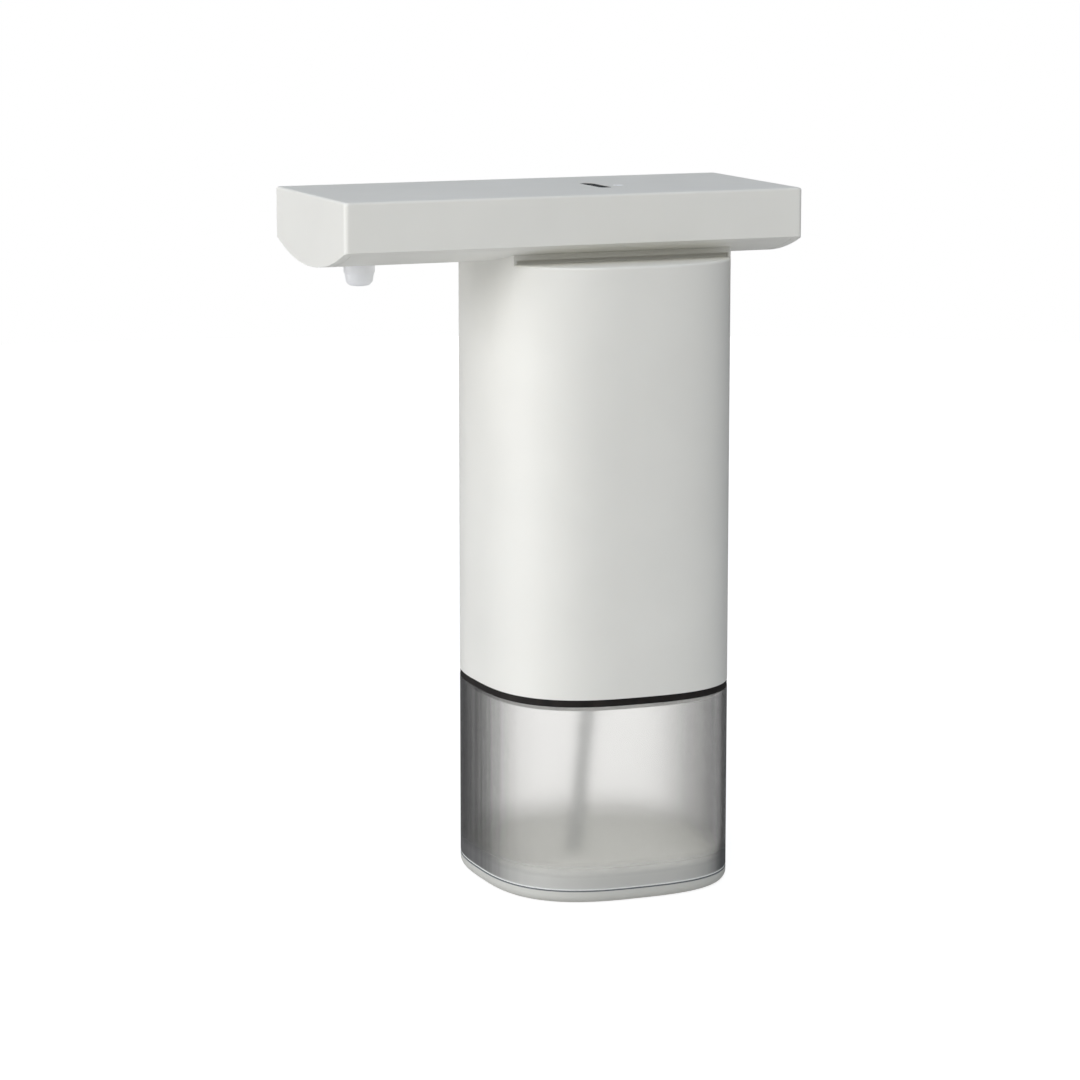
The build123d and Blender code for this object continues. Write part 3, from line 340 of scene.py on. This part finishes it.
def rubber(name, grain=0.5, depth=0.02):
    """Matt black rubber, very slightly brown, with a fine bloom."""
    material, shader = new_material(name)
    tone = shader.blend(shader.ramp(shader.noise(4 * MM), 0, 1), (0.012, 0.010, 0.009), (0.022, 0.018, 0.016))
    surface = shader.node(
        "ShaderNodeBsdfPrincipled",
        Base_Color=tone,
        Roughness=0.62,
        Specular_IOR_Level=0.25,
        Normal=shader.bump(shader.noise(grain * MM, detail=3.0), depth * MM),
    )
    finish_material(shader, surface.outputs[0])
    return material


def metal(name, colour, roughness, stretch=(1, 1, 1)):
    """Plated or drawn metal with fine marks, drawn out along the axes with a small stretch."""
    material, shader = new_material(name)
    place = shader.node("ShaderNodeVectorMath", {"operation": "MULTIPLY"}, _0=shader.place(), _1=stretch)
    marks = shader.node("ShaderNodeTexNoise", Vector=place.outputs[0], Scale=1 / (0.3 * MM), Detail=4.0)
    surface = shader.node(
        "ShaderNodeBsdfPrincipled",
        Base_Color=(*colour, 1),
        Metallic=1.0,
        Roughness=shader.ramp(marks.outputs["Fac"], roughness - 0.08, roughness + 0.08),
        Normal=shader.bump(marks.outputs["Fac"], 0.004 * MM),
    )
    finish_material(shader, surface.outputs[0])
    return material


def circuit_board():
    """Green solder mask over copper tracks, with gilt pads and bare fibreglass edges; the chips are black."""
    material, shader = new_material("circuit_board")
    level = shader.levelness()
    pads = shader.node("ShaderNodeTexVoronoi", Vector=shader.place(), Scale=1 / (2.54 * MM), Randomness=0.0)
    on_pad = shader.ramp(pads.outputs["Distance"], 1.0, 0.0, 0.2, 0.22)
    tracks = shader.node(
        "ShaderNodeTexWave", Vector=shader.place(), Scale=0.12 / MM, Distortion=3.0, Detail=0.0
    )
    on_track = shader.ramp(tracks.outputs["Fac"], 0.0, 1.0, 0.6, 0.68)
    mask = shader.blend(on_track, (0.008, 0.11, 0.04), (0.03, 0.2, 0.08))
    top = shader.blend(on_pad, mask, (0.75, 0.56, 0.25))
    chip = shader.ramp(shader.along("Z"), 0.0, 1.0, (BOARD_TOP + 0.02) * MM, (BOARD_TOP + 0.04) * MM)
    bare = shader.blend(level, (0.36, 0.33, 0.16), top)
    plated = shader.maths("MULTIPLY", on_pad, level)
    surface = shader.node(
        "ShaderNodeBsdfPrincipled",
        Base_Color=shader.blend(chip, bare, CHIP_BLACK),
        Metallic=shader.maths("SUBTRACT", plated, chip, clamp=True),
        Roughness=0.32,
        Normal=shader.bump(on_track, 0.03 * MM),
    )
    finish_material(shader, surface.outputs[0])
    return material


def copper_winding():
    """The armature: thin steel layers below, copper segments on the commutator above."""
    material, shader = new_material("copper_winding")
    height = shader.along("Z")
    layers = shader.node(
        "ShaderNodeTexWave", {"bands_direction": "Z"}, Vector=shader.place(), Scale=0.6 / MM, Distortion=0.0
    )
    segments = shader.ramp(height, 0.0, 1.0, CORE_TOP * MM, (CORE_TOP + 0.05) * MM)
    surface = shader.node(
        "ShaderNodeBsdfPrincipled",
        Base_Color=shader.blend(segments, (0.3, 0.3, 0.31), (0.8, 0.4, 0.2)),
        Metallic=1.0,
        Roughness=0.38,
        Normal=shader.bump(layers.outputs["Fac"], 0.03 * MM),
    )
    finish_material(shader, surface.outputs[0])
    return material


def lead_insulation(name, left, right):
    """Soft insulation on a lead; the leads of the two sides have different colours."""
    material, shader = new_material(name)
    side = shader.ramp(shader.along("X"), 0.0, 1.0, -0.1 * MM, 0.1 * MM)
    surface = shader.node(
        "ShaderNodeBsdfPrincipled",
        Base_Color=shader.blend(side, left, right),
        Roughness=0.42,
        Normal=shader.bump(shader.noise(0.6 * MM), 0.01 * MM),
    )
    finish_material(shader, surface.outputs[0])
    return material


def cell_wrap(name, nub_up):
    """A plain two-tone sleeve with bare metal ends; the pale band marks the raised contact's end."""
    material, shader = new_material(name)
    low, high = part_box(name)
    height = shader.along("Z")
    from_middle = shader.maths("ABSOLUTE", shader.maths("SUBTRACT", height, (low.z + high.z) / 2))
    sleeve_end = (high.z - low.z) / 2 - CELL_BARE_END * MM
    bare = shader.ramp(from_middle, 0.0, 1.0, sleeve_end - 0.1 * MM, sleeve_end)
    if nub_up:
        band_edge = high.z - CELL_BAND * MM
        band = shader.ramp(height, 0.0, 1.0, band_edge - 0.1 * MM, band_edge)
    else:
        band_edge = low.z + CELL_BAND * MM
        band = shader.ramp(height, 1.0, 0.0, band_edge, band_edge + 0.1 * MM)
    sleeve = shader.blend(band, (0.03, 0.045, 0.06), (0.5, 0.42, 0.26))
    surface = shader.node(
        "ShaderNodeBsdfPrincipled",
        Base_Color=shader.blend(bare, sleeve, (0.66, 0.66, 0.67)),
        Metallic=bare,
        Roughness=0.24,
        Normal=shader.bump(shader.noise(3 * MM), 0.02 * MM),
    )
    finish_material(shader, surface.outputs[0])
    return material


def woven_screen():
    """Fine steel gauze."""
    material, shader = new_material("foam_gauze")
    wires = []
    for axis in ("X", "Y"):
        bands = {"bands_direction": axis}
        made = shader.node("ShaderNodeTexWave", bands, Vector=shader.place(), Scale=1.2 / MM, Distortion=0.0)
        wires.append(made.outputs["Fac"])
    weave = shader.maths("MAXIMUM", *wires)
    surface = shader.node(
        "ShaderNodeBsdfPrincipled",
        Base_Color=shader.blend(shader.ramp(weave, 0, 1), (0.05, 0.05, 0.05), (0.7, 0.7, 0.7)),
        Metallic=1.0,
        Roughness=0.3,
        Normal=shader.bump(weave, 0.08 * MM),
    )
    finish_material(shader, surface.outputs[0])
    return material


def slot_materials():
    """The material for each of the record's slots, apart from the cells, which have their own."""
    return {
        "body_plastic": body_plastic(),
        "white_plastic": moulded_plastic("white_plastic", (0.86, 0.86, 0.84), 0.42),
        "black_plastic": moulded_plastic("black_plastic", (0.014, 0.014, 0.015), 0.4),
        "black_rubber": rubber("black_rubber"),
        "frosted_bottle": frosted_bottle(),
        "tube_plastic": milky_plastic("tube_plastic", (0.8, 0.81, 0.81), 0.3, 0.6),
        # The nozzle's glow is painted light, standing for light scattered inside it.
        "nozzle_plastic": milky_plastic("nozzle_plastic", (0.97, 0.975, 0.985), 0.45, 0.35, glow=0.06),
        "lens_plastic": milky_plastic("lens_plastic", (0.97, 0.97, 0.97), 0.3, 0.1),
        "dark_window": moulded_plastic("dark_window", (0.02, 0.008, 0.012), 0.1, depth=0.0005, specular=0.5),
        "circuit_board": circuit_board(),
        "silicone": milky_plastic("silicone", (0.82, 0.82, 0.8), 0.42, 0.3),
        "steel": metal("steel", (0.62, 0.62, 0.63), 0.3),
        "brass": metal("brass", (0.78, 0.58, 0.26), 0.3),
        "magnet": moulded_plastic("magnet", (0.05, 0.05, 0.052), 0.6, grain=0.4, depth=0.03),
        "copper_winding": copper_winding(),
        "spring_plate": metal("spring_plate", (0.78, 0.77, 0.74), 0.2, stretch=(1, 0.1, 1)),
        "lead_insulation": lead_insulation("lead_insulation", (0.012, 0.012, 0.013), (0.4, 0.015, 0.012)),
    }


def own_materials():
    """Materials that belong to one node."""
    own = {
        # The base plate is a darker copy of the body plastic; its darker tone is painted shade, not a
        # different plastic.
        "base_plate": moulded_plastic("shaded_base_plastic", (0.62, 0.615, 0.57), 0.46, seam=BASE_TOP),
        "power_button": moulded_plastic(
            "gloss_black", (0.003, 0.003, 0.0035), 0.16, depth=0.0005, specular=0.15
        ),
        # The indicator dot's glow is painted light, standing for light scattered inside the lens; it is no
        # lamp.
        "indicator_lens": milky_plastic("painted_glow_lens", (0.97, 0.97, 0.97), 0.3, 0.1, glow=0.22),
        "body_floor": milky_plastic("plug_plastic", (0.93, 0.93, 0.91), 0.5, 0.35),
        "foam_screens": woven_screen(),
        "motor_can": metal("drawn_can", (0.6, 0.6, 0.61), 0.28, stretch=(1, 1, 0.05)),
        "foot_pad": rubber("ribbed_rubber", grain=1.2, depth=0.12),
        "sensor_leads": lead_insulation("grey_leads", (0.3, 0.3, 0.3), (0.5, 0.5, 0.48)),
    }
    for number in (1, 2, 3, 4):
        cell = f"battery_{number}"
        own[cell] = cell_wrap(cell, nub_up=number % 2 == 1)
    return own


def dress_nodes(by_slot):
    """Gives every CAD node its material."""
    own = own_materials()
    for part in frame["record"]["subparts"]:
        name = part["node"]
        for place in nodes[name].material_slots:
            place.material = own.get(name) or by_slot[part["material_slot"]]


# ---- small pieces that only the looks have ----


def add_box(mesh, centre, size, edge):
    """Adds a box with softened edges, in millimetres, to a bmesh."""
    place = Matrix.Translation(Vector(centre) * MM) @ Matrix.Diagonal((*(Vector(size) * MM), 1))
    made = bmesh.ops.create_cube(mesh, size=1, matrix=place)
    edges = list({e for v in made["verts"] for e in v.link_edges})
    bmesh.ops.bevel(mesh, geom=edges, offset=edge * MM, segments=2, affect="EDGES", profile=0.5)


def add_can(mesh, centre, radius, height):
    """Adds an upright can with softened ends, in millimetres, to a bmesh."""
    place = Matrix.Translation(Vector(centre) * MM)
    made = bmesh.ops.create_cone(
        mesh,
        cap_ends=True,
        segments=32,
        radius1=radius * MM,
        radius2=radius * MM,
        depth=height * MM,
        matrix=place,
    )
    ends = {f for v in made["verts"] for f in v.link_faces if len(f.verts) > 4}
    edges = list({e for f in ends for e in f.edges})
    bmesh.ops.bevel(mesh, geom=edges, offset=0.3 * MM, segments=3, affect="EDGES", profile=0.5)


def place_piece(piece, body):
    """Links a piece and makes it ride on a body."""
    bpy.context.scene.collection.objects.link(piece)
    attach(piece, body)


def finish_piece(name, mesh, material, body):
    """Turns a bmesh into a smooth-shaded piece that rides on a body."""
    data = bpy.data.meshes.new(name)
    mesh.to_mesh(data)
    mesh.free()
    data.materials.append(material)
    data.shade_smooth()
    data.set_sharp_from_angle(angle=SMOOTH_ANGLE)
    place_piece(bpy.data.objects.new(name, data), body)


def board_resistors(material):
    """Rows of small chips on the main board, 2.3 mm apart."""
    size = (1.6, 0.8, 0.5)
    mesh = bmesh.new()
    for x, first_y, count in ((6.6, -10, 5), (9.6, -10, 5), (-10.4, 10, 4)):
        for row in range(count):
            add_box(mesh, (x, first_y + 2.3 * row, BOARD_TOP + size[2] / 2), size, 0.08)
    finish_piece("board_resistors", mesh, material, "pump_unit")


def board_capacitors(material):
    """Two tall cans and a flat crystal on the main board."""
    can_height = 5.0
    crystal = (2.6, 7.0, 1.8)
    mesh = bmesh.new()
    for y in (-9.5, -3.2):
        add_can(mesh, (-8.6, y, BOARD_TOP + can_height / 2), 2.5, can_height)
    add_box(mesh, (10.2, 11.0, BOARD_TOP + crystal[2] / 2), crystal, 0.5)
    finish_piece("board_capacitors", mesh, material, "pump_unit")


def board_connectors(material):
    """The white sockets for the leads."""
    height = 3.2
    mesh = bmesh.new()
    for y, width in ((26.6, 10.0), (-16.0, 6.0)):
        add_box(mesh, (0, y, BOARD_TOP + height / 2), (width, 3.6, height), 0.25)
    finish_piece("board_connectors", mesh, material, "pump_unit")


def chip_legs(material):
    """The legs of the two chips."""
    pitch = 1.27
    middle_height = 0.15
    mesh = bmesh.new()
    for x, y_middle, count in ((-8.3, 14.5, 4), (-2.7, 14.5, 4), (2.7, 20.0, 3), (9.3, 20.0, 3)):
        for leg in range(count):
            y = y_middle + (leg - (count - 1) / 2) * pitch
            add_box(mesh, (x, y, BOARD_TOP + middle_height), (0.9, 0.4, 0.22), 0.05)
    finish_piece("chip_legs", mesh, material, "pump_unit")


def coil_points(axis_y, pole):
    """Places for one coil: up one slot of the core and down the next, further out with each turn."""
    turns = 9
    wires_per_layer = 6
    points = []
    for turn in range(turns):
        radius = (5.2 + 0.42 * (turn % wires_per_layer)) * MM
        swell = (0.7 + 0.36 * (turn // wires_per_layer) + 0.25 * (turn % 2)) * MM
        low, high = CORE_BOTTOM * MM - swell, CORE_TOP * MM + swell
        up_slot, down_slot = math.radians(pole - SLOT_HALF_PITCH), math.radians(pole + SLOT_HALF_PITCH)
        for angle, start, end in ((up_slot, low, high), (down_slot, high, low)):
            x, y = radius * math.cos(angle), axis_y + radius * math.sin(angle)
            points += [(x, y, start), (x, y, end)]
    return points


def armature_windings(material):
    """Three coils of enamelled wire, each wound round one pole of the armature, through its two slots."""
    wire_radius = 0.21 * MM
    low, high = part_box("motor_shaft")
    axis_y = (low.y + high.y) / 2
    for number, pole in enumerate(CORE_POLES, start=1):
        curve = bpy.data.curves.new(f"armature_winding_{number}", "CURVE")
        curve.dimensions = "3D"
        curve.bevel_depth = wire_radius
        curve.bevel_resolution = 2
        curve.materials.append(material)
        points = coil_points(axis_y, pole)
        spline = curve.splines.new("NURBS")
        spline.points.add(len(points) - 1)
        for point, place in zip(spline.points, points):
            point.co = (*place, 1)
        spline.order_u = 3
        spline.use_endpoint_u = True
        place_piece(bpy.data.objects.new(curve.name, curve), "rotor")


def make_small_pieces(by_slot):
    """What is soldered to the board and wound on the armature."""
    board_resistors(by_slot["black_plastic"])
    board_capacitors(by_slot["steel"])
    board_connectors(by_slot["white_plastic"])
    chip_legs(by_slot["steel"])
    armature_windings(metal("enamelled_wire", (0.78, 0.33, 0.12), 0.25))


# ---- stage ----


def bright_for_lens(shader):
    """1 for rays from the camera and through the clear parts, 0 for the rays that light the object."""
    path = shader.node("ShaderNodeLightPath")
    return shader.maths("MAXIMUM", path.outputs["Is Camera Ray"], path.outputs["Is Transmission Ray"])


def make_world():
    """A surround that is white for the lens, and lights the object softly from overhead."""
    world = bpy.data.worlds.new("studio")
    world.use_nodes = True
    bpy.context.scene.world = world
    shader = Shader(world.node_tree)
    way = shader.node("ShaderNodeTexCoord").outputs["Generated"]
    height = shader.node("ShaderNodeSeparateXYZ", Vector=way).outputs["Z"]
    sky = shader.blend(shader.ramp(height, 0, 1, 0.0, 1.0), HORIZON, OVERHEAD)
    white = shader.node("ShaderNodeBackground", Color=(1, 1, 1, 1), Strength=1.0)
    studio = shader.node("ShaderNodeBackground", Color=sky, Strength=1.0)
    mixed = shader.mix(bright_for_lens(shader), studio, white)
    shader.node("ShaderNodeOutputWorld", Surface=mixed.outputs[0])


def make_floor():
    """A round pale floor at the height of the foot pad."""
    turns = [2 * math.pi * i / FLOOR_CORNERS for i in range(FLOOR_CORNERS)]
    corners = [(FLOOR_RADIUS * math.cos(turn), FLOOR_RADIUS * math.sin(turn), 0) for turn in turns]
    mesh = bpy.data.meshes.new("floor")
    mesh.from_pydata(corners, [], [range(len(corners))])
    floor = bpy.data.objects.new("floor", mesh)
    bpy.context.scene.collection.objects.link(floor)
    material, shader = new_material("floor")
    pale = shader.node("ShaderNodeBsdfDiffuse", Color=(0.3, 0.3, 0.3, 1))
    glow = shader.node("ShaderNodeEmission", Color=(1, 1, 1, 1), Strength=FLOOR_FOR_LENS)
    seen = shader.node("ShaderNodeAddShader", _0=pale.outputs[0], _1=glow.outputs[0])
    table = shader.node("ShaderNodeBsdfDiffuse", Color=(0.55, 0.55, 0.55, 1))
    lamp = shader.node("ShaderNodeEmission", Color=(1, 1, 1, 1), Strength=FLOOR_GLOW)
    lit = shader.node("ShaderNodeAddShader", _0=table.outputs[0], _1=lamp.outputs[0])
    path = shader.node("ShaderNodeLightPath")
    dull = shader.node("ShaderNodeEmission", Color=(1, 1, 1, 1), Strength=FLOOR_IN_GLOSS)
    bounced = shader.mix(path.outputs["Is Glossy Ray"], lit, dull)
    finish_material(shader, shader.mix(bright_for_lens(shader), bounced, seen).outputs[0])
    mesh.materials.append(material)


make_camera()
make_softbox("spout_softbox", -8, 12, 0.505, (0.97, 0.972, 1.0))
make_softbox("side_softbox", 62, 40, 0.51)
make_softbox("back_softbox", 248, 8, 0.36, mirrored=False)
make_world()
make_floor()
slots = slot_materials()
dress_nodes(slots)
make_small_pieces(slots)
bpy.context.scene.view_settings.view_transform = "Standard"
